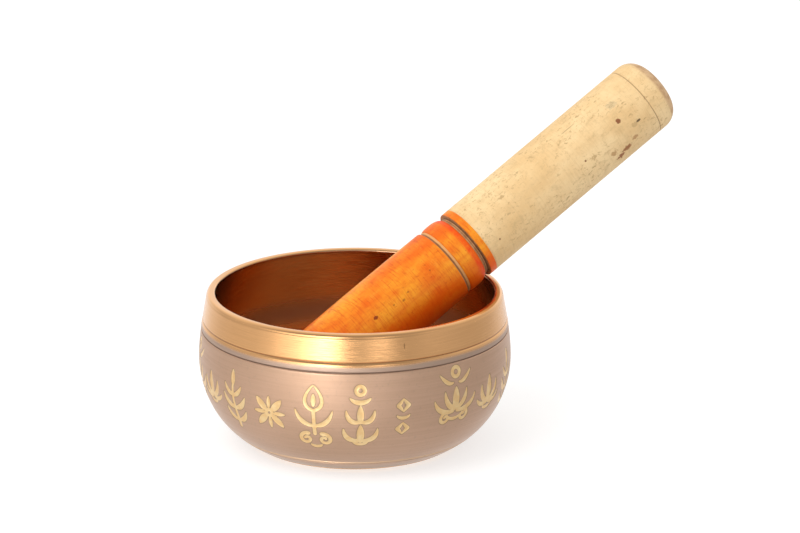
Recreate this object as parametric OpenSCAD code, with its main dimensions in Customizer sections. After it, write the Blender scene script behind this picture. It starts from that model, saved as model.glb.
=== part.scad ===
// Hand-size metal singing bowl with its turned wooden striker leaning in it.
// Millimetres. +Z is up, the origin is on the bowl's axis at the plane it rests on,
// +X is to the right of the side that carries the resting striker's handle.

/* [Bowl] */
// Largest outside diameter, at the belly
bowl_d = 100; // [98:0.5:103]
// Height of the lip above the resting plane
bowl_h = 50; // [48:0.5:53]
// Diameter of the flat foot
foot_d = 63; // [58:0.5:66]
// Height of the belly, where the bowl is widest
belly_z = 28.5; // [27:0.5:31]
// How much the mouth's outer radius is smaller than the belly's
mouth_in = 2.7; // [2.2:0.1:3.4]
// Wall thickness
wall = 2.7; // [2.2:0.1:3.2]
// Rounding of the lip's outer edge
lip_round_out = 1.2; // [0.8:0.1:1.3]
// Rounding of the lip's inner edge
lip_round_in = 0.8; // [0.5:0.1:0.9]

/* [Turned lines] */
// Height of the V groove under the polished lip band
groove_z = 41.1; // [40.5:0.1:42.5]
// Width of the V groove
groove_w = 0.8; // [0.6:0.1:1.6]
// Depth of the V groove
groove_depth = 0.35; // [0.2:0.05:0.7]
// Height of the fine scribed line under the polished bead
fine_z = 38.1; // [37:0.1:38.6]
// Width of the fine scribed line
fine_w = 0.4; // [0.3:0.05:0.7]
// Depth of the fine scribed line
fine_depth = 0.2; // [0.15:0.05:0.4]
// Height of the thin bright ring turned above the foot
base_ring_z = 4.9; // [4:0.1:7]
// Width of the thin bright ring
base_ring_w = 0.6; // [0.4:0.1:1]

/* [Patina] */
// Thickness given to the matte patina coat
patina_t = 0.12; // [0.08:0.01:0.2]
// Height where the patina coat starts above the foot
patina_z0 = 1.2; // [0.8:0.1:2]

/* [Striker] */
// Diameter of the pale handle
handle_d = 24.5; // [23.5:0.1:25]
// Length of the pale handle, from its end to the edge of the lacquer
handle_len = 80.4; // [70:0.1:90]
// Length of the lacquered part, from its edge down to the lower end
barrel_len = 92.7; // [88:0.1:92.7]
// Diameter of the barrel below the bead
barrel_d = 24.8; // [24:0.1:25]
// How much the barrel swells in the middle, on the radius
barrel_swell = 0.3; // [0:0.05:0.35]
// Rounding of the lower end
end_round = 4; // [3:0.5:5]
// Rounding of the handle's end
handle_round = 6; // [4:0.5:7]
// Width of the lacquered lip next to the handle
collar_w = 2.4; // [2:0.1:3]
// Width of the deep groove
deep_w = 1.7; // [1.4:0.1:2.2]
// Depth of the deep groove
deep_depth = 1.3; // [0.8:0.1:2]
// Length of the rounded bead between the grooves
bead_len = 6.9; // [6:0.1:7.5]
// Width of the narrow V groove below the bead
narrow_w = 1.5; // [1:0.1:2]
// Depth of the narrow groove
narrow_depth = 0.6; // [0.3:0.1:1]
// Distance of the scribed ring from the handle's end
scribe_from_end = 8.9; // [7.5:0.1:12]
// Thickness given to the orange lacquer coat
lacquer_t = 0.12; // [0.08:0.01:0.2]

/* [Resting place of the striker] */
// Lean of the striker above the horizontal, in degrees
lean = 32; // [32:0.1:33]
// Heading of the handle from +X towards +Y, in degrees
heading = 28; // [26:0.5:30]
// Point on the striker's axis at the lacquer's edge: X
rest_x = 37.5; // [37:0.1:38]
// The same point: Y
rest_y = 15.2; // [14.8:0.1:15.6]
// The same point: Z
rest_z = 61.9; // [61.9:0.1:62.5]

/* [Hidden] */
$fn = 144;

// colours
c_brass = [0.80, 0.60, 0.38];
c_patina = [0.66, 0.55, 0.46];
c_wood = [0.93, 0.81, 0.60];
c_lacquer = [0.95, 0.45, 0.10];

// ---- bowl: the outside is one smooth curve of radius over height ----
R = bowl_d / 2;
drop = R - foot_d / 2;                 // belly radius less foot radius
// below the belly: nearly circular, turning in quickly towards the foot
function low_r(z) = let (t = (belly_z - z) / belly_z)
    R - drop * (0.73 * pow(t, 2) + 0.27 * pow(t, 6));
// above the belly: it leans in, then runs almost straight to the lip
function high_r(z) = let (t = (z - belly_z) / (bowl_h - belly_z))
    R - mouth_in * (1.70 * pow(t, 2) - 0.70 * pow(t, 3));
function out_r(z) = z < belly_z ? low_r(z) : high_r(z);
function slope(z) = (out_r(z + 0.01) - out_r(z - 0.01)) / 0.02;
// the inside is the outside moved in by the wall, square to the surface
function in_pt(z) = let (m = slope(z), n = sqrt(1 + m * m))
    [out_r(z) - wall / n, z + wall * m / n];

mouth_r = out_r(bowl_h) - wall;
z_in_top = bowl_h - lip_round_in;
low_step = 1.2;
low_n = 16;
// heights where the outside is sampled between two levels
function levels(a, b, n) = [for (i = [0:n]) a + (b - a) * i / n];
function arc_pts(c, r, a0, a1, n) =
    [for (i = [0:n]) let (a = a0 + (a1 - a0) * i / n) [c[0] + r * cos(a), c[1] + r * sin(a)]];

ring_lo = base_ring_z - base_ring_w / 2;
ring_hi = base_ring_z + base_ring_w / 2;
pat_top = fine_z - fine_w / 2;
foot_band = levels(patina_z0, ring_lo, 4);
main_band = levels(ring_hi, pat_top, 20);

function on_out(zs, inset) = [for (z = zs) [out_r(z) - inset, z]];

module bowl_section() {
    inner_pts = [for (z = levels(0, bowl_h - lip_round_in - 0.3, 26)) in_pt(z)];
    polygon(concat(
        [[0, 0], [out_r(0), 0]],
        on_out([0.5], 0),
        on_out(foot_band, patina_t),
        on_out([ring_lo, ring_hi], 0),
        on_out(main_band, patina_t),
        // fine scribed line
        [[out_r(pat_top) - 0.02, pat_top],
         [out_r(fine_z) - fine_depth, fine_z],
         [out_r(fine_z + fine_w / 2), fine_z + fine_w / 2]],
        on_out([(fine_z + groove_z) / 2], 0),
        // V groove
        [[out_r(groove_z - groove_w / 2), groove_z - groove_w / 2],
         [out_r(groove_z) - groove_depth, groove_z],
         [out_r(groove_z + groove_w / 2), groove_z + groove_w / 2]],
        on_out(levels(groove_z + groove_w / 2 + 0.6, bowl_h - lip_round_out - 0.6, 5), 0),
        // lip
        arc_pts([out_r(bowl_h) - lip_round_out, bowl_h - lip_round_out], lip_round_out, 0, 90, 6),
        arc_pts([mouth_r + lip_round_in, bowl_h - lip_round_in], lip_round_in, 90, 180, 5),
        // inside, from the lip down to the floor
        [for (i = [len(inner_pts) - 1:-1:0]) if (inner_pts[i][1] < z_in_top - 0.2) inner_pts[i]],
        [[0, in_pt(0)[1]]]));
}

module patina_band(zs) {
    n = len(zs);
    polygon(concat(on_out(zs, 0), [for (i = [n - 1:-1:0]) [out_r(zs[i]) - patina_t, zs[i]]]));
}

module bowl() {
    color(c_brass) rotate_extrude() bowl_section();
}

module bowl_patina() {
    color(c_patina) {
        rotate_extrude() patina_band(foot_band);
        rotate_extrude() patina_band(main_band);
    }
}

// ---- striker: turned along its own axis, zero at the lacquer's edge ----
hr = handle_d / 2;
br = barrel_d / 2;
s_deep_hi = -collar_w;
s_deep_lo = s_deep_hi - deep_w;
s_bead_lo = s_deep_lo - bead_len;
s_barrel = s_bead_lo - narrow_w;
deep_r = hr - deep_depth;

// the bead falls away in a round shoulder towards the deep groove
function bead_r(s) = let (u = (s - s_bead_lo) / bead_len)
    br - (br - deep_r - 0.4) * pow(u, 5) - 0.35 * pow(1 - u, 8);
// the barrel swells a little in the middle and draws in towards its end
function barrel_r(s) = let (u = (s_barrel - s) / (barrel_len + s_barrel))
    br + 4 * barrel_swell * u * (1 - u) - 0.2 * pow(u, 2);

bead_s = levels(s_bead_lo, s_deep_lo, 9);
barrel_s = levels(-barrel_len + end_round, s_barrel, 14);
low_c = [barrel_r(-barrel_len + end_round) - end_round, -barrel_len + end_round];

function on_wood(zs, inset) = [for (s = zs) [barrel_r(s) - inset, s]];
function low_end(inset) = arc_pts(low_c, end_round - inset, -90, 0, 7);

module wood_section() {
    top = handle_len;
    polygon(concat(
        [[0, -barrel_len + lacquer_t]],
        low_end(lacquer_t),
        [for (i = [1:len(barrel_s) - 1]) [barrel_r(barrel_s[i]) - lacquer_t, barrel_s[i]]],
        // narrow groove
        [[br - narrow_depth, s_barrel + narrow_w / 2]],
        [for (s = bead_s) [bead_r(s) - lacquer_t, s]],
        // deep groove with a bare floor
        [[deep_r, s_deep_lo + 0.3], [deep_r, s_deep_hi - 0.3]],
        [[hr - lacquer_t, s_deep_hi], [hr - lacquer_t, 0], [hr, 0]],
        // scribed ring
        [[hr, top - scribe_from_end - 0.25], [hr - 0.25, top - scribe_from_end],
         [hr, top - scribe_from_end + 0.25]],
        arc_pts([hr - handle_round, top - handle_round], handle_round, 0, 90, 9),
        [[0, top]]));
}

module lacquer_sections() {
    n = len(barrel_s);
    m = len(bead_s);
    // barrel with its closed lower end
    rotate_extrude() polygon(concat(
        [[0, -barrel_len]], low_end(0),
        [for (i = [1:n - 1]) [barrel_r(barrel_s[i]), barrel_s[i]]],
        [for (i = [n - 1:-1:1]) [barrel_r(barrel_s[i]) - lacquer_t, barrel_s[i]]],
        [for (i = [7:-1:0]) low_end(lacquer_t)[i]],
        [[0, -barrel_len + lacquer_t]]));
    // bead
    rotate_extrude() polygon(concat(
        [for (s = bead_s) [bead_r(s), s]],
        [for (i = [m - 1:-1:0]) [bead_r(bead_s[i]) - lacquer_t, bead_s[i]]]));
    // lip beside the handle
    rotate_extrude() polygon([[hr - lacquer_t, s_deep_hi], [hr, s_deep_hi], [hr, 0], [hr - lacquer_t, 0]]);
}

module at_rest() {
    translate([rest_x, rest_y, rest_z]) rotate([0, 90 - lean, heading]) children();
}

module striker() {
    color(c_wood) at_rest() rotate_extrude() wood_section();
}

module striker_lacquer() {
    color(c_lacquer) at_rest() lacquer_sections();
}

bowl();
bowl_patina();
striker();
striker_lacquer();
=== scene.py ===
import math

import bpy
import numpy as np
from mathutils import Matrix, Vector


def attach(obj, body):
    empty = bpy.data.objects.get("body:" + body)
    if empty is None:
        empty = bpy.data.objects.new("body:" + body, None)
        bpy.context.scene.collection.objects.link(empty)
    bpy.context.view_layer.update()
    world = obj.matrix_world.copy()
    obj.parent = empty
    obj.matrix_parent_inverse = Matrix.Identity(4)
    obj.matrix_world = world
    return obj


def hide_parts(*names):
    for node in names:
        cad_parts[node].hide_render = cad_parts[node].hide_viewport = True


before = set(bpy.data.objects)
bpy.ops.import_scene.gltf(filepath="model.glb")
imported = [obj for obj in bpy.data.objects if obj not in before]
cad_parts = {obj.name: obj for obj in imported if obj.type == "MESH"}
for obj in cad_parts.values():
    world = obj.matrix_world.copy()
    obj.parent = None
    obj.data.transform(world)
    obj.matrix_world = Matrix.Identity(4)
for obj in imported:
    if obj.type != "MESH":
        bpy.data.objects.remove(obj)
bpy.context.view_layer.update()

MM = 0.001

# ------------------------------------------------------------------ sizes, mm
# the same design values as the CAD part
BELLY_R, FOOT_R, BOWL_H, BELLY_Z = 50.0, 31.5, 50.0, 28.5
MOUTH_IN, WALL = 2.7, 2.7
LIP_OUT, LIP_IN = 1.2, 0.8
GROOVE_Z, FINE_Z, RING_Z = 41.1, 38.1, 4.9
PAT_TOP, PAT_LOW = FINE_Z - 0.20, 1.2
PAT_T = 0.26          # thickness given to the patina shell, deeper than its engraving

HANDLE_R, HANDLE_LEN, BARREL_R, BARREL_LEN = 12.25, 80.4, 12.4, 92.7
SWELL, END_ROUND, HANDLE_ROUND = 0.3, 4.0, 6.0
BEAD_LEN, SCRIBE = 6.9, 8.9
S_DEEP_HI = -2.4
S_DEEP_LO = S_DEEP_HI - 1.7
S_BEAD_LO = S_DEEP_LO - BEAD_LEN
S_BARREL = S_BEAD_LO - 1.5
DEEP_R = HANDLE_R - 1.3
LACQ_T = 0.12
LEAN, HEADING = math.radians(32), math.radians(28)
REST = np.array([37.5, 15.2, 61.9])


# ------------------------------------------------------------------ mesh tools
def new_object(name, verts, faces, mats, face_mat=None, smooth=True):
    me = bpy.data.meshes.new(name)
    verts = np.asarray(verts, float) * MM
    me.from_pydata(verts.tolist(), [], faces)
    me.update()
    for m in mats:
        me.materials.append(m)
    if face_mat is not None:
        me.polygons.foreach_set("material_index", np.asarray(face_mat, np.int32))
    if smooth:
        me.polygons.foreach_set("use_smooth", np.ones(len(me.polygons), bool))
    me.validate()
    ob = bpy.data.objects.new(name, me)
    bpy.context.scene.collection.objects.link(ob)
    return ob


def lathe(profile, cols, bump=None):
    """Closed solid of revolution about Z from a profile of (r, z) points, in order,
    counter-clockwise in the (r, z) plane, so that the faces point outwards. Points with r = 0 become poles.
    bump(row, angle) may give a change of position (dr, dz) per vertex."""
    ang = np.arange(cols) * (2 * math.pi / cols)
    ca, sa = np.cos(ang), np.sin(ang)
    verts, rows = [], []
    n = 0
    for i, (r, z) in enumerate(profile):
        if r <= 1e-9:
            verts.append(np.array([[0.0, 0.0, z]]))
            rows.append(np.array([n]))
            n += 1
            continue
        if bump is not None:
            dr, dz = bump(i, ang)
        else:
            dr = dz = 0.0
        rr = r + dr
        verts.append(np.stack([rr * ca, rr * sa, np.full(cols, z) + dz], -1))
        rows.append(np.arange(n, n + cols))
        n += cols
    verts = np.concatenate(verts)
    faces = []
    row_of_face = []
    total = len(rows)
    for i in range(total):
        a, b = rows[i], rows[(i + 1) % total]
        if len(a) == 1 and len(b) == 1:
            continue
        if len(a) == 1:
            b2 = np.roll(b, -1)
            f = np.stack([np.full(cols, a[0]), b2, b], -1)
        elif len(b) == 1:
            a2 = np.roll(a, -1)
            f = np.stack([a, a2, np.full(cols, b[0])], -1)
        else:
            f = np.stack([a, np.roll(a, -1), np.roll(b, -1), b], -1)
        faces += f.tolist()
        row_of_face += [i] * cols
    return verts, faces, np.array(row_of_face)


def arc(cx, cz, r, a0, a1, n):
    t = np.radians(np.linspace(a0, a1, n))
    return [(cx + r * math.cos(a), cz + r * math.sin(a)) for a in t]


def set_attr(ob, name, values):
    at = ob.data.attributes.new(name, "FLOAT", "POINT")
    at.data.foreach_set("value", np.asarray(values, np.float32))


# ------------------------------------------------------------------ bowl curves
def out_r(z):
    z = np.asarray(z, float)
    t = (BELLY_Z - z) / BELLY_Z
    lo = BELLY_R - (BELLY_R - FOOT_R) * (0.73 * t ** 2 + 0.27 * t ** 6)
    u = (z - BELLY_Z) / (BOWL_H - BELLY_Z)
    hi = BELLY_R - MOUTH_IN * (1.70 * u ** 2 - 0.70 * u ** 3)
    return np.where(z < BELLY_Z, lo, hi)


def slope(z):
    return (out_r(z + 0.01) - out_r(z - 0.01)) / 0.02


def in_pt(z):
    m = slope(z)
    n = np.sqrt(1 + m * m)
    return float(out_r(z) - WALL / n), float(z + WALL * m / n)


ZT = np.linspace(0, BOWL_H, 2001)
RT = out_r(ZT)
ST = np.concatenate([[0], np.cumsum(np.hypot(np.diff(ZT), np.diff(RT)))])


def arc_len(z):
    return np.interp(z, ZT, ST)


def z_at(s):
    return np.interp(s, ST, ZT)


# ------------------------------------------------------------------ ornament
# Each motif is a set of strokes: lists of (u, v, half width) in mm, u along the
# girth and v up the wall from the motif's foot. They are plain garden ornament:
# lotus, buds, leaves, scrolls, beads and crescents.
def s_line(p, q, w0, w1=None, n=2):
    w1 = w0 if w1 is None else w1
    return [(p[0] + (q[0] - p[0]) * t, p[1] + (q[1] - p[1]) * t, w0 + (w1 - w0) * t)
            for t in np.linspace(0, 1, n)]


def s_arc(c, r, a0, a1, w0, w1=None, n=20, rx=None):
    w1 = w0 if w1 is None else w1
    rx = r if rx is None else rx
    return [(c[0] + rx * math.cos(math.radians(a0 + (a1 - a0) * t)),
             c[1] + r * math.sin(math.radians(a0 + (a1 - a0) * t)),
             w0 + (w1 - w0) * t) for t in np.linspace(0, 1, n)]


def s_crescent(c, r, a0, a1, w, n=20, rx=None):
    rx = r if rx is None else rx
    return [(c[0] + rx * math.cos(math.radians(a0 + (a1 - a0) * t)),
             c[1] + r * math.sin(math.radians(a0 + (a1 - a0) * t)),
             0.06 + w * math.sin(math.pi * t) ** 0.7) for t in np.linspace(0, 1, n)]


def s_spiral(c, r0, r1, a0, turns, w0, w1, n=40):
    return [(c[0] + (r0 + (r1 - r0) * t) * math.cos(math.radians(a0 + 360 * turns * t)),
             c[1] + (r0 + (r1 - r0) * t) * math.sin(math.radians(a0 + 360 * turns * t)),
             w0 + (w1 - w0) * t) for t in np.linspace(0, 1, n)]


def s_curve(p0, p1, p2, p3, w, n=24):
    """Bezier stroke; w is (start, middle, end) half widths."""
    out = []
    for t in np.linspace(0, 1, n):
        a, b, c, d = (1 - t) ** 3, 3 * t * (1 - t) ** 2, 3 * t * t * (1 - t), t ** 3
        ww = (1 - t) ** 2 * w[0] + 2 * t * (1 - t) * w[1] + t * t * w[2]
        out.append((a * p0[0] + b * p1[0] + c * p2[0] + d * p3[0],
                    a * p0[1] + b * p1[1] + c * p2[1] + d * p3[1], ww))
    return out


def mirror(strokes):
    return strokes + [[(-u, v, w) for u, v, w in s] for s in strokes]


def ring(c, r, w, rx=None):
    return s_arc(c, r, 0, 360, w, n=28, rx=rx)


def motif_lotus():
    m = mirror([
        s_curve((0.3, 5.2), (2.6, 6.0), (4.2, 8.0), (4.4, 11.2), (0.35, 1.25, 0.08)),
        s_curve((0.8, 4.4), (4.6, 4.2), (7.4, 5.6), (8.3, 8.8), (0.35, 1.15, 0.08)),
        s_spiral((3.6, 2.4), 2.1, 0.5, 105, -1.15, 0.50, 0.34),
        s_curve((1.1, 13.6), (2.8, 13.0), (4.6, 14.6), (6.2, 16.6), (0.12, 0.95, 0.06)),
    ])
    m += [s_curve((0, 5.2), (0, 7.2), (0, 9.6), (0, 12.2), (0.3, 2.3, 0.08)),
          s_crescent((0, 4.1), 2.3, 200, 340, 0.42, rx=3.2),
          ring((0, 16.8), 1.45, 0.48)]
    return m


def motif_sprig():
    m = mirror([
        s_curve((0.5, 3.0), (2.8, 3.6), (4.5, 5.6), (4.3, 9.2), (0.40, 1.40, 0.10)),
        s_curve((0.6, 2.2), (2.8, 1.8), (5.0, 2.4), (6.3, 4.6), (0.35, 1.05, 0.08)),
    ])
    m += [s_curve((0, 2.8), (0, 5.2), (0, 8.2), (0, 11.8), (0.30, 2.20, 0.08)),
          s_crescent((0, 1.9), 1.6, 205, 335, 0.45, rx=2.6)]
    return m


def motif_branch():
    m = [s_curve((0, 0.2), (1.1, 5.0), (-1.1, 10.0), (0, 15.2), (0.46, 0.44, 0.34)),
         s_curve((0, 14.6), (0, 15.8), (0, 17.4), (0, 19.2), (0.30, 1.45, 0.08))]
    for v, k, o in ((2.6, 1.0, 0.35), (7.0, 1.1, 0.1), (11.2, 0.85, -0.25)):
        for sg in (1, -1):
            m.append(s_curve((o + 0.2 * sg, v), (o + 1.8 * sg * k, v + 0.1), (o + 3.6 * sg * k, v + 1.2), (o + 4.6 * sg * k, v + 3.8 * k),
                             (0.25, 1.30 * k, 0.08)))
    return m


def motif_flower():
    m = mirror([
        s_curve((1.1, 6.4), (2.2, 7.4), (3.4, 8.5), (4.5, 10.0), (0.35, 1.85, 0.10)),
        s_curve((1.1, 4.4), (2.2, 3.4), (3.4, 2.3), (4.5, 0.8), (0.35, 1.85, 0.10)),
        s_curve((1.9, 5.4), (2.9, 5.4), (4.2, 5.4), (5.6, 5.4), (0.18, 1.00, 0.08)),
    ])
    m += [ring((0, 5.4), 1.0, 0.42),
          s_curve((0, 7.2), (0, 8.2), (0, 9.4), (0, 10.8), (0.18, 1.0, 0.08)),
          s_curve((0, 3.6), (0, 2.6), (0, 1.4), (0, 0.0), (0.18, 1.0, 0.08))]
    return m


def motif_bud():
    m = mirror([
        s_curve((0.1, 14.2), (3.6, 15.2), (3.8, 18.4), (0.25, 22.0), (0.40, 0.62, 0.10)),
        s_curve((0.1, 9.0), (2.6, 9.0), (5.2, 10.6), (6.1, 14.2), (0.28, 1.15, 0.08)),
        s_spiral((2.9, 3.9), 2.3, 0.5, 110, -1.2, 0.55, 0.36),
    ])
    m += [s_curve((0, 6.0), (0, 9.0), (0, 11.0), (0, 14.0), (0.50, 0.42, 0.5)),
          s_curve((0, 15.6), (0, 16.6), (0, 18.0), (0, 19.4), (0.12, 1.25, 0.08)),
          s_crescent((0, 2.3), 1.5, 205, 335, 0.46, rx=2.0)]
    return m


def motif_palmette():
    m = mirror([
        s_curve((0.5, 1.6), (2.8, 1.2), (5.2, 2.6), (5.4, 6.2), (0.35, 1.35, 0.10)),
        s_curve((0.4, 8.6), (2.4, 8.2), (4.3, 9.4), (4.5, 12.6), (0.32, 1.20, 0.10)),
    ])
    m += [s_curve((0, 1.0), (0, 3.0), (0, 5.2), (0, 7.6), (0.30, 2.00, 0.08)),
          s_curve((0, 8.4), (0, 10.2), (0, 12.2), (0, 14.2), (0.30, 1.75, 0.08)),
          s_crescent((0, 1.6), 1.6, 210, 330, 0.42, rx=2.6),
          s_crescent((0, 18.2), 2.9, 210, 330, 0.60, rx=3.8),
          ring((0, 19.2), 1.35, 0.50)]
    return m


def motif_divider():
    m = []
    for c in (2.6, 9.9):
        m += [[(0, c + 1.9, 0.10), (0.9, c + 0.8, 0.42), (1.75, c, 0.50), (0.9, c - 0.8, 0.42),
               (0, c - 1.9, 0.10), (-0.9, c - 0.8, 0.42), (-1.75, c, 0.50), (-0.9, c + 0.8, 0.42),
               (0, c + 1.9, 0.10)]]
    m += [s_crescent((0, 7.6), 1.6, 205, 335, 0.34, rx=2.4)]
    return m


# azimuth from the front (degrees, + to the right), motif, height of its foot, height of its head
PLAN = [
    (-66.0, motif_sprig, 19.0, 29.9), (-50.5, motif_branch, 14.0, 33.8), (-33.2, motif_flower, 17.2, 28.2),
    (-15.3, motif_bud, 11.8, 33.7), (2.0, motif_palmette, 13.2, 34.4), (17.9, motif_divider, 16.7, 29.2),
    (39.8, motif_lotus, 18.0, 37.0), (58.6, motif_sprig, 18.6, 30.3), (75.6, motif_branch, 14.0, 34.6),
    (92.0, motif_flower, 17.4, 28.3), (108.0, motif_bud, 11.8, 33.6), (125.0, motif_palmette, 13.2, 34.4),
    (141.0, motif_divider, 16.7, 29.2), (160.5, motif_lotus, 17.8, 36.8), (180.0, motif_sprig, 18.6, 30.0),
    (196.5, motif_branch, 14.0, 34.2), (212.0, motif_flower, 17.3, 28.2), (228.0, motif_bud, 11.8, 33.6),
    (245.0, motif_palmette, 13.2, 34.3), (260.5, motif_divider, 16.7, 29.2), (277.5, motif_lotus, 17.8, 36.6),
]


def stroke_distance(u, v, strokes):
    """Signed distance (mm) from points to the nearest stroke's edge, negative inside."""
    best = np.full(u.shape, 9.0)
    for s in strokes:
        s = np.array(s, float)
        for a, b in zip(s[:-1], s[1:]):
            ex, ey = b[0] - a[0], b[1] - a[1]
            L2 = ex * ex + ey * ey + 1e-12
            t = np.clip(((u - a[0]) * ex + (v - a[1]) * ey) / L2, 0, 1)
            d = np.hypot(u - (a[0] + t * ex), v - (a[1] + t * ey)) - (a[2] + (b[2] - a[2]) * t)
            np.minimum(best, d, out=best)
    return best - 0.13


def ornament_sdf(zs, ang):
    """Signed distance on a grid of heights by angles (angle counter-clockwise from +X)."""
    out = np.full((len(zs), len(ang)), 2.0)
    s_all = arc_len(zs)
    r_all = out_r(zs)
    for az, motif, z0, z1 in PLAN:
        strokes = motif()
        pts = np.array([p for s in strokes for p in s])
        v_lo, v_hi = (pts[:, 1] - pts[:, 2]).min(), (pts[:, 1] + pts[:, 2]).max()
        s0, s1 = float(arc_len(z0)), float(arc_len(z1))
        k = (s1 - s0) / (v_hi - v_lo)
        rows = np.where((s_all > s0 - 2) & (s_all < s1 + 2))[0]
        # azimuth 0 looks along +Y, so it is the angle -90 degrees, and + turns towards +X
        centre = math.radians(az - 90.0)
        da = (ang - centre + math.pi) % (2 * math.pi) - math.pi
        cols = np.where(np.abs(da) < 13.0 / 42.0)[0]
        v = (s_all[rows] - s0)[:, None] / k + v_lo + 0 * da[cols][None, :]
        u = r_all[rows][:, None] * da[cols][None, :]
        d = stroke_distance(u, v, strokes)
        sub = out[np.ix_(rows, cols)]
        out[np.ix_(rows, cols)] = np.minimum(sub, d)
    return out


# ------------------------------------------------------------------ node helpers
def material(name):
    m = bpy.data.materials.new(name)
    m.use_nodes = True
    nt = m.node_tree
    nt.nodes.clear()
    out = nt.nodes.new("ShaderNodeOutputMaterial")
    bs = nt.nodes.new("ShaderNodeBsdfPrincipled")
    nt.links.new(bs.outputs[0], out.inputs[0])
    return m, nt, bs


class N:
    """Small shorthand for building node trees."""

    def __init__(self, nt):
        self.nt = nt

    def put(self, sock, val):
        if val is None:
            return
        if hasattr(val, "is_output") or isinstance(val, bpy.types.NodeSocket):
            self.nt.links.new(val, sock)
        else:
            sock.default_value = val

    def math(self, op, a, b=None, c=None, clamp=False):
        n = self.nt.nodes.new("ShaderNodeMath")
        n.operation = op
        n.use_clamp = clamp
        for i, x in enumerate((a, b, c)):
            if x is not None:
                self.put(n.inputs[i], x)
        return n.outputs[0]

    def range(self, x, a, b, c=0.0, d=1.0, smooth=True):
        n = self.nt.nodes.new("ShaderNodeMapRange")
        n.interpolation_type = "SMOOTHSTEP" if smooth else "LINEAR"
        n.clamp = True
        self.put(n.inputs["Value"], x)
        n.inputs["From Min"].default_value = a
        n.inputs["From Max"].default_value = b
        n.inputs["To Min"].default_value = c
        n.inputs["To Max"].default_value = d
        return n.outputs[0]

    def mix(self, f, a, b, blend="MIX"):
        n = self.nt.nodes.new("ShaderNodeMix")
        n.data_type = "RGBA"
        n.blend_type = blend
        n.clamp_factor = True
        self.put(n.inputs[0], f)
        for i, x in ((6, a), (7, b)):
            if isinstance(x, (tuple, list)):
                x = (x[0], x[1], x[2], 1.0)
            self.put(n.inputs[i], x)
        return n.outputs[2]

    def mixf(self, f, a, b):
        n = self.nt.nodes.new("ShaderNodeMix")
        n.data_type = "FLOAT"
        self.put(n.inputs[0], f)
        self.put(n.inputs[2], a)
        self.put(n.inputs[3], b)
        return n.outputs[0]

    def pos(self):
        return self.nt.nodes.new("ShaderNodeTexCoord").outputs["Object"]

    def attr(self, name):
        n = self.nt.nodes.new("ShaderNodeAttribute")
        n.attribute_name = name
        return n.outputs["Fac"]

    def xyz(self, v):
        n = self.nt.nodes.new("ShaderNodeSeparateXYZ")
        self.put(n.inputs[0], v)
        return n.outputs

    def vec(self, x, y, z):
        n = self.nt.nodes.new("ShaderNodeCombineXYZ")
        for i, a in enumerate((x, y, z)):
            self.put(n.inputs[i], a)
        return n.outputs[0]

    def noise(self, v, scale, detail=2.0, rough=0.5, dist=0.0):
        n = self.nt.nodes.new("ShaderNodeTexNoise")
        self.put(n.inputs["Vector"], v)
        n.inputs["Scale"].default_value = scale
        n.inputs["Detail"].default_value = detail
        n.inputs["Roughness"].default_value = rough
        n.inputs["Distortion"].default_value = dist
        return n.outputs[0]

    def voronoi(self, v, scale, rand=1.0):
        n = self.nt.nodes.new("ShaderNodeTexVoronoi")
        self.put(n.inputs["Vector"], v)
        n.inputs["Scale"].default_value = scale
        n.inputs["Randomness"].default_value = rand
        return n.outputs["Distance"]

    def scale(self, v, s):
        n = self.nt.nodes.new("ShaderNodeVectorMath")
        n.operation = "MULTIPLY"
        self.put(n.inputs[0], v)
        n.inputs[1].default_value = s
        return n.outputs[0]

    def bump(self, h, dist, strength=1.0, normal=None):
        n = self.nt.nodes.new("ShaderNodeBump")
        n.inputs["Strength"].default_value = strength
        n.inputs["Distance"].default_value = dist
        self.put(n.inputs["Height"], h)
        if normal is not None:
            self.put(n.inputs["Normal"], normal)
        return n.outputs[0]

    def spot(self, p, centre, radii, ragged=0.0, soft=0.35):
        """1 inside an ellipsoid round a point on the surface (mm), 0 outside, with a ragged edge if wanted."""
        n = self.nt.nodes.new("ShaderNodeVectorMath")
        n.operation = "SUBTRACT"
        self.put(n.inputs[0], p)
        n.inputs[1].default_value = tuple(c * MM for c in centre)
        v = self.scale(n.outputs[0], tuple(1000.0 / r for r in radii))
        ln = self.nt.nodes.new("ShaderNodeVectorMath")
        ln.operation = "LENGTH"
        self.put(ln.inputs[0], v)
        d = ln.outputs["Value"]
        if ragged:
            nz = self.noise(self.scale(p, (1300.0, 1300.0, 1300.0)), 1.0, 2.0, 0.6)
            d = self.math("ADD", d, self.math("MULTIPLY", self.math("SUBTRACT", nz, 0.5), ragged))
        return self.range(d, 1.0 - soft, 1.0, 1.0, 0.0)

    def round_coords(self, p):
        """(cos, sin, height) coordinates: stretched round the Z axis they draw turning lines."""
        x, y, z = self.xyz(p)[:3]
        r = self.math("POWER", self.math("ADD", self.math("MULTIPLY", x, x), self.math("MULTIPLY", y, y)), 0.5)
        r = self.math("MAXIMUM", r, 1e-5)
        return self.math("DIVIDE", x, r), self.math("DIVIDE", y, r), z, r


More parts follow.
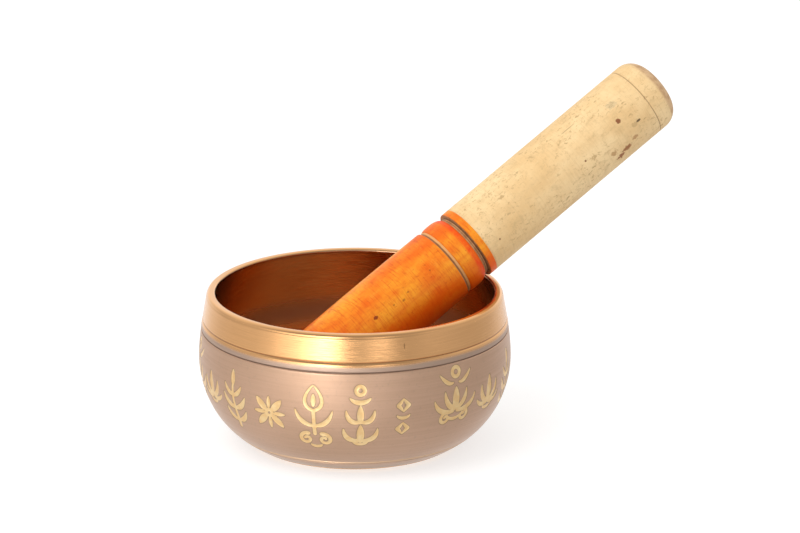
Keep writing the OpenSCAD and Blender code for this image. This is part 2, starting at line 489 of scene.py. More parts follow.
def brass_material():
    m, nt, bs = material("polished_brass")
    k = N(nt)
    p = k.pos()
    cx, sy, z, r = k.round_coords(p)
    # fine turning lines: slow round the girth, quick along the profile
    prof = k.math("ADD", z, k.math("MULTIPLY", r, 0.6))
    lines = k.noise(k.vec(k.math("MULTIPLY", cx, 0.9), k.math("MULTIPLY", sy, 0.9), k.math("MULTIPLY", prof, 2600.0)), 1.0, 3.0, 0.6)
    fine = k.noise(k.vec(k.math("MULTIPLY", cx, 3.0), k.math("MULTIPLY", sy, 3.0), k.math("MULTIPLY", prof, 7000.0)), 1.0, 2.0, 0.6)
    cloud = k.noise(k.scale(p, (18.0, 18.0, 26.0)), 1.0, 3.0, 0.55)
    base = k.mix(k.range(cloud, 0.35, 0.7), (0.860, 0.468, 0.205), (0.905, 0.505, 0.232))
    base = k.mix(k.range(lines, 0.30, 0.75, 0.0, 0.20), base, (0.72, 0.36, 0.14))
    # painted shade darkens the two grooves; softly, on the lower half of the bead, a patina-coloured tarnish
    zmm = k.math("MULTIPLY", z, 1000.0)
    on_out = k.range(r, 0.0469, 0.0474)
    groove_shade = k.math("SUBTRACT", 1.0, k.range(k.math("ABSOLUTE", k.math("SUBTRACT", zmm, GROOVE_Z)), 0.06, 0.34))
    wob = k.math("MULTIPLY", k.math("SUBTRACT", k.noise(k.scale(p, (40.0, 40.0, 40.0)), 1.0, 2.0), 0.5), 0.7)
    low = k.math("SUBTRACT", 1.0, k.range(k.math("ADD", zmm, wob), 39.3, 40.5))
    fine_groove_shade = k.math("SUBTRACT", 1.0, k.range(k.math("ABSOLUTE", k.math("SUBTRACT", zmm, FINE_Z)), 0.05, 0.34))
    low = k.math("MULTIPLY", low, on_out)
    # painted shade: the groove and the fine groove are coloured darker
    col = k.mix(k.math("MULTIPLY", groove_shade, k.math("MULTIPLY", on_out, 0.7)), base, (0.36, 0.18, 0.08))
    col = k.mix(k.math("MULTIPLY", low, 0.85), col, (0.50, 0.375, 0.310))
    col = k.mix(k.math("MULTIPLY", fine_groove_shade, k.math("MULTIPLY", on_out, 0.60)), col, (0.20, 0.14, 0.12))
    col = k.mix(k.math("MULTIPLY", k.spot(p, (15.5, -45.4, 45.7), (0.28, 0.28, 1.5), 0.6), 0.5), col, (0.22, 0.10, 0.04))
    # painted shade: the inside of the bowl is coloured darker and browner than the lip
    hollow_shade = k.math("MULTIPLY", k.range(zmm, 1.0, 1.8), k.math("SUBTRACT", 1.0, k.range(r, 0.0446, 0.0449)))
    col = k.mix(k.math("MULTIPLY", hollow_shade, 0.9), col, (0.455, 0.262, 0.160))
    ringm = k.math("SUBTRACT", 1.0, k.range(k.math("ABSOLUTE", k.math("SUBTRACT", zmm, RING_Z)), 0.4, 0.6))
    ringm = k.math("MULTIPLY", ringm, k.range(r, 0.0345, 0.0350))
    col = k.mix(ringm, col, (0.80, 0.54, 0.34))
    nt.links.new(col, bs.inputs["Base Color"])
    bs.inputs["Metallic"].default_value = 1.0
    rough = k.math("ADD", k.range(fine, 0.3, 0.7, 0.10, 0.16), k.range(cloud, 0.3, 0.7, 0.0, 0.03))
    rough = k.mixf(low, rough, 0.40)
    rough = k.mixf(ringm, rough, 0.38)
    nt.links.new(rough, bs.inputs["Roughness"])
    h = k.math("ADD", k.math("MULTIPLY", lines, 0.35), k.math("MULTIPLY", fine, 0.65))
    nt.links.new(k.bump(h, 0.00008, 0.8), bs.inputs["Normal"])
    return m


def patina_material():
    m, nt, bs = material("patina")
    k = N(nt)
    p = k.pos()
    cx, sy, z, r = k.round_coords(p)
    sdf = k.attr("ornament")           # mm, negative inside the engraving
    lines = k.noise(k.vec(k.math("MULTIPLY", cx, 1.3), k.math("MULTIPLY", sy, 1.3), k.math("MULTIPLY", z, 1900.0)), 1.0, 3.0, 0.65)
    cloud = k.noise(k.scale(p, (22.0, 22.0, 30.0)), 1.0, 4.0, 0.6)
    speck = k.noise(k.scale(p, (900.0, 900.0, 900.0)), 1.0, 2.0, 0.6)
    base = k.mix(k.range(cloud, 0.3, 0.72), (0.600, 0.375, 0.245), (0.670, 0.430, 0.295))
    base = k.mix(k.range(lines, 0.3, 0.75, 0.0, 0.26), base, (0.490, 0.300, 0.195))
    base = k.mix(k.range(speck, 0.55, 0.8, 0.0, 0.25), base, (0.36, 0.26, 0.20))
    # the coat wears to brass at the base ring; just under that line, down to the foot, it is painted darker: painted
    # shade where the bowl meets the floor
    zmm = k.math("MULTIPLY", z, 1000.0)
    ringd = k.math("SUBTRACT", 1.0, k.range(k.math("ABSOLUTE", k.math("SUBTRACT", zmm, RING_Z)), 0.28, 0.62))
    base = k.mix(k.math("MULTIPLY", ringd, 0.6), base, (0.80, 0.54, 0.34))
    # painted shade: darker towards the foot
    foot_shade = k.math("SUBTRACT", 1.0, k.range(zmm, 1.4, 4.4))
    base = k.mix(k.math("MULTIPLY", foot_shade, 0.5), base, (0.40, 0.27, 0.19))
    # engraving: gold floor, with a darker rim round it, painted shade along the engraved edge
    edge = k.math("MULTIPLY", k.range(sdf, -0.06, 0.05), k.math("SUBTRACT", 1.0, k.range(sdf, 0.06, 0.30)))
    inside = k.math("SUBTRACT", 1.0, k.range(sdf, -0.07, 0.05))
    goldn = k.noise(k.scale(p, (420.0, 420.0, 420.0)), 1.0, 3.0, 0.6)
    gold = k.mix(k.range(goldn, 0.35, 0.7), (0.92, 0.60, 0.27), (0.99, 0.72, 0.37))
    col = k.mix(k.math("MULTIPLY", edge, 0.62), base, (0.27, 0.18, 0.10))
    col = k.mix(inside, col, gold)
    nt.links.new(col, bs.inputs["Base Color"])
    bs.inputs["Metallic"].default_value = 0.85
    bs.inputs["Coat Weight"].default_value = 0.25
    bs.inputs["Coat Roughness"].default_value = 0.3
    rough = k.math("ADD", k.range(lines, 0.3, 0.7, 0.36, 0.44), k.range(cloud, 0.3, 0.7, 0.0, 0.05))
    rough = k.mixf(inside, rough, 0.40)
    nt.links.new(rough, bs.inputs["Roughness"])
    fine = k.noise(k.vec(k.math("MULTIPLY", cx, 4.0), k.math("MULTIPLY", sy, 4.0), k.math("MULTIPLY", z, 6500.0)), 1.0, 2.0, 0.6)
    h = k.math("ADD", k.math("MULTIPLY", k.math("ADD", lines, fine), 1.0), k.math("MULTIPLY", speck, 0.25))
    h = k.math("ADD", h, k.math("MULTIPLY", k.math("MULTIPLY", inside, goldn), 1.2))
    nt.links.new(k.bump(h, 0.00003, 0.55), bs.inputs["Normal"])
    return m


def build_bowl():
    brass = brass_material()
    patina = patina_material()
    # ---- brass body, closed, from the centre of the foot outwards and up
    P = [(0.0, 0.0)] + [(r, 0.0) for r in (8, 16, 24, 29.5)]
    P += arc(30.9, 0.55, 0.55, -90, -35, 5)
    P += [(float(out_r(z)), z) for z in (0.55, 0.85, 1.10)]
    P += [(float(out_r(PAT_LOW)) - PAT_T, PAT_LOW + 0.02)]
    P += [(float(out_r(z)) - PAT_T, z) for z in np.linspace(1.6, RING_Z - 0.42, 6)]
    P += [(float(out_r(z)) + dr, z) for z, dr in ((RING_Z - 0.34, -0.16), (RING_Z - 0.26, 0.0), (RING_Z - 0.12, 0.05),
                                                   (RING_Z + 0.12, 0.05), (RING_Z + 0.26, 0.0), (RING_Z + 0.34, -0.16))]
    P += [(float(out_r(z)) - PAT_T, z) for z in np.linspace(RING_Z + 0.42, PAT_TOP - 0.04, 40)]
    P += [(float(out_r(z)) + dr, z) for z, dr in ((37.93, -0.26), (38.00, -0.24), (38.10, -0.20), (38.20, -0.12), (38.30, -0.05),
                                                  (38.42, -0.01), (38.60, 0.02), (38.9, 0.05), (39.3, 0.08), (39.8, 0.09),
                                                  (40.2, 0.07), (40.45, 0.03), (40.65, -0.02), (40.80, -0.10), (40.93, -0.22),
                                                  (41.05, -0.32), (41.15, -0.32), (41.27, -0.22), (41.40, -0.09), (41.52, -0.02), (41.68, 0.0))]
    P += [(float(out_r(z)), z) for z in np.linspace(42.1, BOWL_H - LIP_OUT - 0.15, 18)]
    ro, mr = float(out_r(BOWL_H)), float(out_r(BOWL_H)) - WALL
    P += arc(ro - LIP_OUT + 0.06, BOWL_H - LIP_OUT, LIP_OUT, 3, 90, 11)
    P += arc(mr + LIP_IN, BOWL_H - LIP_IN, LIP_IN, 90, 176, 9)
    inn = [in_pt(z) for z in np.linspace(BOWL_H - LIP_IN - 0.45, 0.0, 60)]
    inn = [q for q in inn if q[1] < BOWL_H - LIP_IN - 0.1]
    P += inn
    zf = inn[-1][1]
    P += [(r, zf + 0.12 * (1 - (r / 30.0) ** 2)) for r in (27, 22, 16, 9)]
    P += [(0.0, zf + 0.12)]
    v, f, rows = lathe(P, 448)
    bowl = new_object("bowl_body", v, f, [brass])
    # ---- patina shell with engraved ornament
    cols = 784
    ang = np.arange(cols) * 2 * math.pi / cols
    z_main = z_at(np.linspace(arc_len(RING_Z + 0.40), arc_len(PAT_TOP), 92))
    sdf = ornament_sdf(z_main, ang)
    depth = 0.17 * (1 - np.clip((sdf + 0.22) / 0.34, 0, 1) ** 2 * (3 - 2 * np.clip((sdf + 0.22) / 0.34, 0, 1)))
    outer = [(float(out_r(z)), float(z)) for z in z_main]
    m = slope(z_main)
    nn = np.sqrt(1 + m * m)
    soft = [0.07] + [0.0] * (len(outer) - 2) + [0.07]
    z_in = np.linspace(PAT_TOP - 0.03, RING_Z + 0.45, 14)
    inner = [(float(out_r(z)) - PAT_T + 0.02, float(z)) for z in z_in]

    def bump(i, a):
        if i >= len(outer):
            return 0.0, 0.0
        d = depth[i] + soft[i]
        return -d / nn[i], d * m[i] / nn[i]

    v, f, rows = lathe(outer + inner, cols, bump)
    at = np.full(len(v), 2.0)
    at[:len(outer) * cols] = sdf.reshape(-1)
    v2, f2, _ = lathe(
        [(float(out_r(z)) - s, float(z)) for z, s in zip(np.linspace(PAT_LOW, RING_Z - 0.40, 10), [0.07] + [0] * 8 + [0.07])]
        + [(float(out_r(z)) - PAT_T + 0.02, float(z)) for z in np.linspace(RING_Z - 0.45, PAT_LOW + 0.05, 5)], 256)
    n0 = len(v)
    v = np.concatenate([v, v2])
    f = f + [[i + n0 for i in q] for q in f2]
    at = np.concatenate([at, np.full(len(v2), 2.0)])
    pat = new_object("bowl_patina_coat", v, f, [patina])
    set_attr(pat, "ornament", at)
    return bowl, pat


# ------------------------------------------------------------------ striker
def bead_r(s):
    u = (s - S_BEAD_LO) / BEAD_LEN
    return BARREL_R - (BARREL_R - DEEP_R - 0.4) * u ** 5 - 0.35 * (1 - u) ** 8


def barrel_r(s):
    u = (S_BARREL - s) / (BARREL_LEN + S_BARREL)
    return BARREL_R + 4 * SWELL * u * (1 - u) - 0.2 * u ** 2


def wood_material():
    m, nt, bs = material("pale_wood")
    k = N(nt)
    p = k.pos()                        # the object's own frame: Z along the striker, 0 at the lacquer's edge
    cx, sy, z, r = k.round_coords(p)
    grain = k.noise(k.vec(k.math("MULTIPLY", k.xyz(p)[0], 260.0), k.math("MULTIPLY", k.xyz(p)[1], 260.0), k.math("MULTIPLY", z, 14.0)), 1.0, 4.0, 0.6, 0.3)
    turn = k.noise(k.vec(k.math("MULTIPLY", cx, 1.6), k.math("MULTIPLY", sy, 1.6), k.math("MULTIPLY", z, 1500.0)), 1.0, 3.0, 0.6)
    cloud = k.noise(k.scale(p, (60.0, 60.0, 42.0)), 1.0, 4.0, 0.62)
    base = k.mix(k.range(cloud, 0.3, 0.7), (0.820, 0.545, 0.255), (0.950, 0.695, 0.375))
    base = k.mix(k.range(grain, 0.50, 0.78, 0.0, 0.30), base, (0.70, 0.46, 0.22))
    base = k.mix(k.range(turn, 0.46, 0.72, 0.0, 0.26), base, (0.66, 0.44, 0.21))
    mottle = k.noise(k.scale(p, (310.0, 310.0, 230.0)), 1.0, 5.0, 0.72, 0.6)
    base = k.mix(k.range(mottle, 0.50, 0.72, 0.0, 0.42), base, (0.60, 0.41, 0.195))
    base = k.mix(k.range(mottle, 0.30, 0.46, 0.22, 0.0), base, (0.96, 0.74, 0.41))
    patch = k.range(k.noise(k.scale(p, (130.0, 130.0, 90.0)), 1.0, 3.0, 0.6), 0.44, 0.60, 0.30, 1.0)
    fleck = k.noise(k.scale(p, (1100.0, 1100.0, 700.0)), 1.0, 3.0, 0.65, 0.8)
    base = k.mix(k.math("MULTIPLY", k.range(fleck, 0.53, 0.69, 0.0, 0.70), patch), base, (0.47, 0.29, 0.12))
    speck = k.noise(k.scale(p, (520.0, 520.0, 330.0)), 1.0, 2.0, 0.5)
    base = k.mix(k.range(speck, 0.70, 0.78, 0.0, 0.55), base, (0.42, 0.27, 0.12))
    # end grain on the rounded end, with scuffs round its edge
    zmm = k.math("MULTIPLY", z, 1000.0)
    cap = k.range(k.math("ADD", zmm, k.math("MULTIPLY", k.math("SUBTRACT", cloud, 0.5), 2.2)), HANDLE_LEN - 3.9, HANDLE_LEN - 2.7)
    scuff = k.noise(k.scale(p, (420.0, 420.0, 420.0)), 1.0, 3.0, 0.6)
    base = k.mix(k.math("MULTIPLY", cap, 0.9), base, k.mix(k.range(scuff, 0.40, 0.66), (0.68, 0.44, 0.235), (0.50, 0.28, 0.135)))
    pencil = k.math("SUBTRACT", 1.0, k.range(k.math("ABSOLUTE", k.math("SUBTRACT", zmm, HANDLE_LEN - SCRIBE)), 0.06, 0.24))
    base = k.mix(k.math("MULTIPLY", pencil, k.range(cloud, 0.3, 0.5, 0.35, 0.8)), base, (0.36, 0.22, 0.11))
    # knots, stains and small cracks
    brown, dark = (0.24, 0.065, 0.02), (0.04, 0.02, 0.01)
    for c, rad, rag, amt, col in (
            ((-11.0, 5.3, 59.7), (1.0, 1.0, 1.0), 0.9, 0.9, brown), ((-12.2, 1.3, 65.4), (0.45, 0.45, 1.0), 0.6, 0.85, dark),
            ((-12.1, 1.0, 63.4), (1.0, 1.0, 1.2), 1.6, 0.5, (0.50, 0.32, 0.14)),
            ((-11.5, -4.3, 57.4), (1.1, 1.1, 2.1), 1.9, 0.9, (0.34, 0.125, 0.04)), ((-11.0, -5.4, 54.6), (1.0, 1.0, 1.7), 1.8, 0.9, (0.30, 0.10, 0.035)),
            ((-12.0, -2.6, 52.6), (1.1, 1.1, 1.5), 1.9, 0.7, (0.46, 0.24, 0.09)), ((-11.9, -2.9, 61.5), (0.8, 0.8, 1.3), 1.9, 0.7, (0.44, 0.21, 0.08)),
            ((-12.0, 2.3, 43.0), (0.42, 0.42, 0.42), 0.4, 0.9, (0.22, 0.08, 0.03)), ((-12.2, 0.7, 4.8), (0.40, 0.40, 0.40), 0.4, 0.8, brown),
            ((-4.6, 11.35, 45.5), (0.22, 0.22, 3.4), 0.5, 0.6, (0.40, 0.26, 0.13)), ((-7.6, 9.6, 61.5), (1.5, 1.5, 2.2), 1.8, 0.4, (0.55, 0.44, 0.26)),
            ((11.4, -4.5, 30.0), (0.9, 0.9, 2.0), 1.5, 0.6, (0.44, 0.22, 0.09)), ((3.0, -11.9, 52.0), (0.45, 0.45, 0.6), 0.5, 0.8, brown),
            ((9.5, 7.7, 14.0), (0.4, 0.4, 0.5), 0.4, 0.8, brown)):
        base = k.mix(k.math("MULTIPLY", k.spot(p, c, rad, rag), amt), base, col)
    # bare wood in the grooves, its grey-brown stain darkened further as painted shade, with thin dark lines of painted
    # shade
    below = k.math("SUBTRACT", 1.0, k.range(z, -0.00012, -0.00004))
    groove_stain_and_shade = k.mix(k.range(mottle, 0.36, 0.62), (0.60, 0.315, 0.135), (0.42, 0.190, 0.070))
    # painted shade: thin dark lines in the grooves
    groove_shade_hi = k.math("SUBTRACT", 1.0, k.range(k.math("ABSOLUTE", k.math("SUBTRACT", zmm, S_DEEP_HI - 0.32)), 0.12, 0.34))
    groove_shade_mid = k.math("SUBTRACT", 1.0, k.range(k.math("ABSOLUTE", k.math("SUBTRACT", zmm, S_DEEP_LO + 0.66)), 0.04, 0.22))
    groove_shade_lo = k.math("SUBTRACT", 1.0, k.range(k.math("ABSOLUTE", k.math("SUBTRACT", zmm, S_BARREL + 0.42)), 0.18, 0.42))
    pale = k.math("MULTIPLY", k.range(zmm, S_BARREL + 0.75, S_BARREL + 1.0), k.math("SUBTRACT", 1.0, k.range(zmm, S_BEAD_LO + 0.1, S_BEAD_LO + 0.4)))
    groove_stain_and_shade = k.mix(k.math("MULTIPLY", pale, 0.8), groove_stain_and_shade, (0.84, 0.42, 0.15))
    groove_stain_and_shade = k.mix(k.math("MULTIPLY", groove_shade_hi, 0.85), groove_stain_and_shade, (0.10, 0.045, 0.02))
    groove_stain_and_shade = k.mix(k.math("MULTIPLY", groove_shade_mid, 0.7), groove_stain_and_shade, (0.13, 0.06, 0.03))
    groove_stain_and_shade = k.mix(k.math("MULTIPLY", groove_shade_lo, 0.75), groove_stain_and_shade, (0.22, 0.075, 0.022))
    base = k.mix(below, base, groove_stain_and_shade)
    nt.links.new(base, bs.inputs["Base Color"])
    bs.inputs["Roughness"].default_value = 0.6
    bs.inputs["Specular IOR Level"].default_value = 0.3
    h = k.math("ADD", k.math("MULTIPLY", turn, 0.7), k.math("ADD", k.math("MULTIPLY", grain, 0.5), k.math("MULTIPLY", mottle, 0.9)))
    nt.links.new(k.bump(h, 0.00012, 0.6), bs.inputs["Normal"])
    return m


def lacquer_material():
    m, nt, bs = material("orange_lacquer")
    k = N(nt)
    p = k.pos()
    cx, sy, z, r = k.round_coords(p)
    turn = k.noise(k.vec(k.math("MULTIPLY", cx, 2.6), k.math("MULTIPLY", sy, 2.6), k.math("MULTIPLY", z, 2100.0)), 1.0, 3.0, 0.65)
    cloud = k.noise(k.scale(p, (90.0, 90.0, 55.0)), 1.0, 4.0, 0.6)
    grain = k.noise(k.vec(k.math("MULTIPLY", k.xyz(p)[0], 420.0), k.math("MULTIPLY", k.xyz(p)[1], 420.0), k.math("MULTIPLY", z, 26.0)), 1.0, 4.0, 0.6)
    base = k.mix(k.range(cloud, 0.34, 0.66), (0.870, 0.150, 0.003), (0.990, 0.375, 0.020))
    blot = k.noise(k.scale(p, (260.0, 260.0, 190.0)), 1.0, 5.0, 0.7, 0.5)
    base = k.mix(k.range(blot, 0.50, 0.70, 0.0, 0.50), base, (0.80, 0.115, 0.003))
    base = k.mix(k.range(blot, 0.30, 0.45, 0.30, 0.0), base, (1.0, 0.45, 0.045))
    base = k.mix(k.range(grain, 0.48, 0.74, 0.0, 0.45), base, (0.82, 0.130, 0.006))
    base = k.mix(k.range(turn, 0.46, 0.72, 0.0, 0.62), base, (0.70, 0.088, 0.003))
    pores = k.noise(k.scale(p, (1500.0, 1500.0, 620.0)), 1.0, 2.0, 0.5)
    base = k.mix(k.range(pores, 0.64, 0.74, 0.0, 0.38), base, (0.50, 0.055, 0.004))
    zmm = k.math("MULTIPLY", z, 1000.0)
    # painted shade: redder and darker along the side that lies lower
    low_side_shade = k.range(k.math("ADD", k.xyz(p)[1], k.math("MULTIPLY", k.math("SUBTRACT", cloud, 0.5), 0.006)), -0.007, 0.005, 0.78, 0.0)
    base = k.mix(low_side_shade, base, (0.93, 0.110, 0.002))
    # the colour pooled on the bead's shoulder beside the deep groove
    pool = k.range(k.math("ADD", zmm, k.math("MULTIPLY", cloud, 1.6)), -5.9, -4.7)
    pool = k.math("MULTIPLY", pool, k.math("SUBTRACT", 1.0, k.range(zmm, -3.4, -3.0)))
    base = k.mix(k.math("MULTIPLY", pool, k.range(blot, 0.36, 0.6, 0.95, 0.55)), base, (0.90, 0.060, 0.0))
    for c, rad in (((-10.54, 6.9, -43.4), (0.7, 0.7, 0.9)), ((-10.82, 6.46, -36.17), (0.35, 0.35, 0.5)), ((-11.22, 5.73, -32.6), (0.45, 0.45, 0.7)),
                   ((-10.66, 6.7, -29.9), (0.4, 0.4, 0.5)), ((-10.18, 7.42, -19.8), (0.35, 0.35, 0.4)), ((6.0, -11.0, -40.0), (0.5, 0.5, 0.9)),
                   ((9.0, 8.6, -25.0), (0.4, 0.4, 0.6))):
        base = k.mix(k.math("MULTIPLY", k.spot(p, c, rad, 0.9), 0.85 if rad[0] > 0.46 else 0.50), base, (0.24, 0.020, 0.004))
    nt.links.new(base, bs.inputs["Base Color"])
    bs.inputs["Roughness"].default_value = 0.5
    bs.inputs["Specular IOR Level"].default_value = 0.2
    bs.inputs["Coat Weight"].default_value = 0.07
    bs.inputs["Coat Roughness"].default_value = 0.2
    h = k.math("ADD", k.math("MULTIPLY", turn, 0.8), k.math("MULTIPLY", grain, 0.4))
    nt.links.new(k.bump(h, 0.00008, 0.6), bs.inputs["Normal"])
    return m


def build_striker():
    wood, lacq = wood_material(), lacquer_material()
    top = HANDLE_LEN
    # wood, from the lower end up
    low_c = (float(barrel_r(-BARREL_LEN + END_ROUND)) - END_ROUND, -BARREL_LEN + END_ROUND)
    W = [(0.0, -BARREL_LEN + LACQ_T), (4.0, -BARREL_LEN + LACQ_T)]
    W += arc(low_c[0], low_c[1], END_ROUND - LACQ_T, -90, 0, 9)
    W += [(float(barrel_r(s)) - LACQ_T, s) for s in np.linspace(-BARREL_LEN + END_ROUND + 1, S_BARREL - 0.05, 50)]
    W += [(BARREL_R - 0.34, S_BARREL + 0.25), (BARREL_R - 0.55, S_BARREL + 0.55), (BARREL_R - 0.60, S_BARREL + 0.80),
          (BARREL_R - 0.55, S_BARREL + 1.05), (BARREL_R - 0.50, S_BARREL + 1.30), (float(bead_r(S_BEAD_LO)) - LACQ_T, S_BEAD_LO + 0.02)]
    W += [(float(bead_r(s)) - LACQ_T, s) for s in np.linspace(S_BEAD_LO + 0.3, S_DEEP_LO - 0.02, 16)]
    W += [(DEEP_R + 0.14, S_DEEP_LO + 0.12), (DEEP_R + 0.06, S_DEEP_LO + 0.30), (DEEP_R + 0.12, S_DEEP_LO + 0.50), (DEEP_R + 0.04, S_DEEP_LO + 0.68),
          (DEEP_R - 0.02, S_DEEP_LO + 0.85), (DEEP_R + 0.06, S_DEEP_LO + 1.02), (DEEP_R - 0.04, S_DEEP_HI - 0.45), (DEEP_R - 0.04, S_DEEP_HI - 0.28),
          (DEEP_R + 0.08, S_DEEP_HI - 0.12), (DEEP_R + 0.40, S_DEEP_HI - 0.04), (HANDLE_R - 0.30, S_DEEP_HI - 0.01)]
    W += [(HANDLE_R - LACQ_T - 0.01, S_DEEP_HI + 0.12), (HANDLE_R - LACQ_T, -0.02), (HANDLE_R, 0.02)]
    W += [(HANDLE_R, s) for s in np.linspace(0.8, top - SCRIBE - 0.35, 80)]
    W += [(HANDLE_R - 0.10, top - SCRIBE - 0.16), (HANDLE_R - 0.25, top - SCRIBE), (HANDLE_R - 0.10, top - SCRIBE + 0.16), (HANDLE_R, top - SCRIBE + 0.35)]
    W += [(HANDLE_R, s) for s in np.linspace(top - SCRIBE + 0.7, top - HANDLE_ROUND - 0.2, 5)]
    W += arc(HANDLE_R - HANDLE_ROUND, top - HANDLE_ROUND, HANDLE_ROUND, 0, 90, 18)
    W += [(5.0, top), (2.0, top), (0.0, top)]
    v, f, _ = lathe(W, 224)
    ws = new_object("striker_wood", v, f, [wood])
    parts = []
    # barrel coat with its closed lower end
    bs_ = np.linspace(-BARREL_LEN + END_ROUND + 1, S_BARREL - 0.25, 110)
    L = [(0.0, -BARREL_LEN), (4.0, -BARREL_LEN)] + arc(low_c[0], low_c[1], END_ROUND, -90, 0, 10)
    L += [(float(barrel_r(s)), s) for s in bs_]
    L += [(BARREL_R - 0.02, S_BARREL - 0.12), (BARREL_R - 0.08, S_BARREL)]
    L += [(BARREL_R - LACQ_T + 0.005, S_BARREL)]
    L += [(float(barrel_r(s)) - LACQ_T + 0.01, s) for s in np.linspace(S_BARREL - 0.6, -BARREL_LEN + END_ROUND + 1, 20)]
    L += arc(low_c[0], low_c[1], END_ROUND - LACQ_T + 0.01, 0, -90, 7)
    L += [(4.0, -BARREL_LEN + LACQ_T - 0.01), (0.0, -BARREL_LEN + LACQ_T - 0.01)]
    parts.append(lathe(L, 224)[:2])
    B = [(float(bead_r(s)) - dr, s) for s, dr in zip(np.linspace(S_BEAD_LO, S_DEEP_LO, 34), [0.05, 0.02] + [0.0] * 30 + [0.0, 0.03])]
    B += [(float(bead_r(s)) - LACQ_T + 0.01, s) for s in np.linspace(S_DEEP_LO, S_BEAD_LO, 12)]
    parts.append(lathe(B, 224)[:2])
    C = [(HANDLE_R - 0.06, S_DEEP_HI), (HANDLE_R - 0.01, S_DEEP_HI + 0.12), (HANDLE_R, S_DEEP_HI + 0.3), (HANDLE_R, -1.2), (HANDLE_R, -0.3),
         (HANDLE_R + 0.015, -0.12), (HANDLE_R + 0.01, 0.0), (HANDLE_R - LACQ_T + 0.01, 0.0), (HANDLE_R - LACQ_T + 0.01, S_DEEP_HI)]
    parts.append(lathe(C, 224)[:2])
    vv, ff, n0 = [], [], 0
    for v, f in parts:
        vv.append(v)
        ff += [[i + n0 for i in q] for q in f]
        n0 += len(v)
    ls = new_object("striker_lacquer_coat", np.concatenate(vv), ff, [lacq])
    # the meshes keep the striker's own axis as Z; the objects carry the resting place
    d = Vector((math.cos(LEAN) * math.cos(HEADING), math.cos(LEAN) * math.sin(HEADING), math.sin(LEAN)))
    q = d.to_track_quat("Z", "Y")
    for ob in (ws, ls):
        ob.rotation_mode = "QUATERNION"
        ob.rotation_quaternion = q
        ob.location = Vector(REST * MM)
    return ws, ls


bowl, pat = build_bowl()
ws, ls = build_striker()
bpy.context.view_layer.update()

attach(bowl, "bowl"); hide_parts("bowl")
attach(pat, "bowl"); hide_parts("bowl_patina")
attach(ws, "striker"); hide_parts("striker")
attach(ls, "striker"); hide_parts("striker_lacquer")


# ------------------------------------------------------------------ floor, light, camera
# What the metal reflects, by azimuth (0 = the camera's side, + to the right): a tall soft box on the
# left of the camera, a thin one on its right, white paper behind and darker walls at the sides.
LEVEL = [(-180, 1.0), (-160, 1.1), (-140, .85), (-120, .58), (-100, .62), (-80, .68), (-66, .95), (-56, 1.6),
         (-44, 2.1), (-33, 3.6), (-22, 5.8), (-16, 5.2), (-11, 1.6), (-7, .70), (-3, .64), (9, .72), (14, 1.1), (19, 2.1), (24, 1.1), (29, .58),
         (38, .50), (60, .72), (80, .62), (100, .62), (120, .72), (140, .95), (160, 1.1), (180, 1.0)]
# the same, reflected in the paper it stands on
PAPER = [(-180, 1.0), (-160, 1.05), (-140, .86), (-120, .74), (-100, .78), (-80, .84), (-60, .98), (-44, 1.15),
         (-30, 1.5), (-16, 1.75), (-8, 1.2), (0, .80), (10, .86), (18, 1.0), (30, .62), (60, .58), (80, .54), (100, .54),
         (120, .58), (140, .80), (160, .95), (180, 1.0)]
TOP = 6.5


def ramp_of(k, f, table):
    ramp = k.nt.nodes.new("ShaderNodeValToRGB")
    k.nt.links.new(f, ramp.inputs[0])
    el = ramp.color_ramp.elements
    for i, (deg, val) in enumerate(table):
        t = (deg + 180) / 360.0
        e = el[0] if i == 0 else (el[len(el) - 1] if i == len(table) - 1 else el.new(t))
        e.position = t
        e.color = (val / TOP, val / TOP, val / TOP, 1)
    return k.math("MULTIPLY", ramp.outputs[0], TOP)


def sin_deg(a):
    return math.sin(math.radians(a))


def studio_world():
    w = bpy.data.worlds.new("studio")
    w.use_nodes = True
    nt = w.node_tree
    nt.nodes.clear()
    k = N(nt)
    out = nt.nodes.new("ShaderNodeOutputWorld")
    x, y, z = k.xyz(nt.nodes.new("ShaderNodeTexCoord").outputs["Generated"])[:3]
    az = k.math("ARCTAN2", x, k.math("MULTIPLY", y, -1.0))
    f = k.math("ADD", k.math("DIVIDE", az, 2 * math.pi), 0.5)
    level, paper = ramp_of(k, f, LEVEL), ramp_of(k, f, PAPER)
    # overhead it is dark, later towards the back, where the paper sweeps up
    back = k.range(y, 0.2, 0.9)
    top = k.range(y, -0.6, 0.7, ZENITH[0], ZENITH[1])
    hi = k.mixf(back, k.range(z, sin_deg(12), sin_deg(36), 1.0, 0.0), k.range(z, sin_deg(30), sin_deg(56), 1.0, 0.0))
    refl = k.mixf(hi, top, level)
    refl = k.mixf(k.range(z, sin_deg(-5), sin_deg(2)), paper, refl)
    ground = k.range(x, -0.8, 0.8, 0.86, 0.62, smooth=False)
    refl = k.mixf(k.range(z, sin_deg(-62), sin_deg(-28)), ground, refl)
    lp = nt.nodes.new("ShaderNodeLightPath")
    soft = k.math("ADD", k.math("ADD", k.math("MULTIPLY", x, -0.14), k.math("MULTIPLY", y, -0.12)), DIFFUSE[0])
    soft = k.mixf(k.range(z, -0.05, 0.05), DIFFUSE[1], soft)
    strength = k.mixf(lp.outputs["Is Glossy Ray"], soft, refl)
    strength = k.mixf(lp.outputs["Is Camera Ray"], strength, 1.15)
    bg = nt.nodes.new("ShaderNodeBackground")
    bg.inputs[0].default_value = (1, 1, 1, 1)
    nt.links.new(strength, bg.inputs[1])
    nt.links.new(bg.outputs[0], out.inputs[0])
    # matte and glossy surfaces see different levels, so the world is only found by their own rays
    w.cycles.sampling_method = "NONE"
    bpy.context.scene.world = w


ZENITH, DIFFUSE = (0.44, 1.0), (0.87, 0.72)


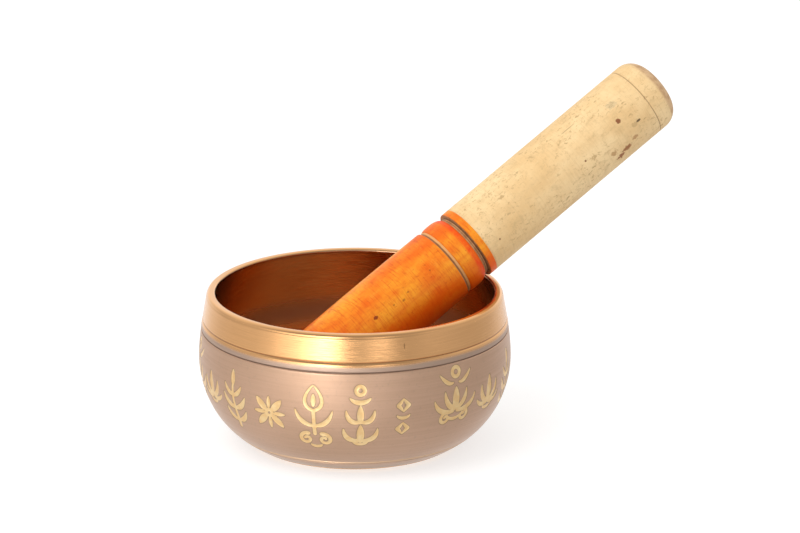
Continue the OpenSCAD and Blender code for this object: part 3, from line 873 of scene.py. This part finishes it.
def area(name, loc, target, size, power, size_y=None, color=(1, 1, 1)):
    la = bpy.data.lights.new(name, "AREA")
    la.shape = "RECTANGLE"
    la.size = size
    la.size_y = size_y or size
    la.energy = power
    la.color = color
    ob = bpy.data.objects.new(name, la)
    ob.location = loc
    ob.rotation_euler = (Vector(target) - Vector(loc)).to_track_quat("-Z", "Y").to_euler()
    bpy.context.scene.collection.objects.link(ob)
    return ob


def polar(az, el, dist, centre=(0, 0, 0.03)):
    """Place at azimuth (0 = the camera's side, + to the right), elevation and distance."""
    a, e = math.radians(az), math.radians(el)
    return (centre[0] + dist * math.cos(e) * math.sin(a), centre[1] - dist * math.cos(e) * math.cos(a), centre[2] + dist * math.sin(e))


studio_world()
C0 = (0.0, 0.0, 0.03)
soft = area("softbox", polar(-42, 52, 0.95), C0, 0.6, 3.0, 0.6)
soft.visible_glossy = False

floor_me = bpy.data.meshes.new("floor")
floor_me.from_pydata([(-4, -4, 0), (4, -4, 0), (4, 4, 0), (-4, 4, 0)], [], [(0, 1, 2, 3)])
floor = bpy.data.objects.new("floor", floor_me)
bpy.context.scene.collection.objects.link(floor)
floor.location = (0, 0, -0.0002)
fm, fnt, fbs = material("floor_paper")
fbs.inputs["Base Color"].default_value = (0.48, 0.48, 0.48, 1)
fbs.inputs["Roughness"].default_value = 0.9
fbs.inputs["Specular IOR Level"].default_value = 0.1
# lit from below as well, as on a light table, so shadows on it stay faint
fbs.inputs["Emission Color"].default_value = (1, 1, 1, 1)
fbs.inputs["Emission Strength"].default_value = 0.63
floor_me.materials.append(fm)
floor.visible_glossy = floor.visible_diffuse = False     # the object sees the studio's own lower half instead

cam_d = bpy.data.cameras.new("cam")
cam = bpy.data.objects.new("cam", cam_d)
bpy.context.scene.collection.objects.link(cam)
cam_d.sensor_fit = "HORIZONTAL"
cam_d.sensor_width = 36.0
cam_d.lens = 6260.0 / 800.0 * 36.0
cam_d.clip_start = 0.05
cam_d.clip_end = 20.0
cam.location = (0.0, -1.91048, 0.64993)
cam.rotation_euler = (math.radians(90 - 17.219), 0.0, math.radians(-0.43366))
bpy.context.scene.camera = cam

vs = bpy.context.scene.view_settings
vs.view_transform = "Standard"
vs.look = "None"
vs.exposure = 0.0
vs.gamma = 1.0
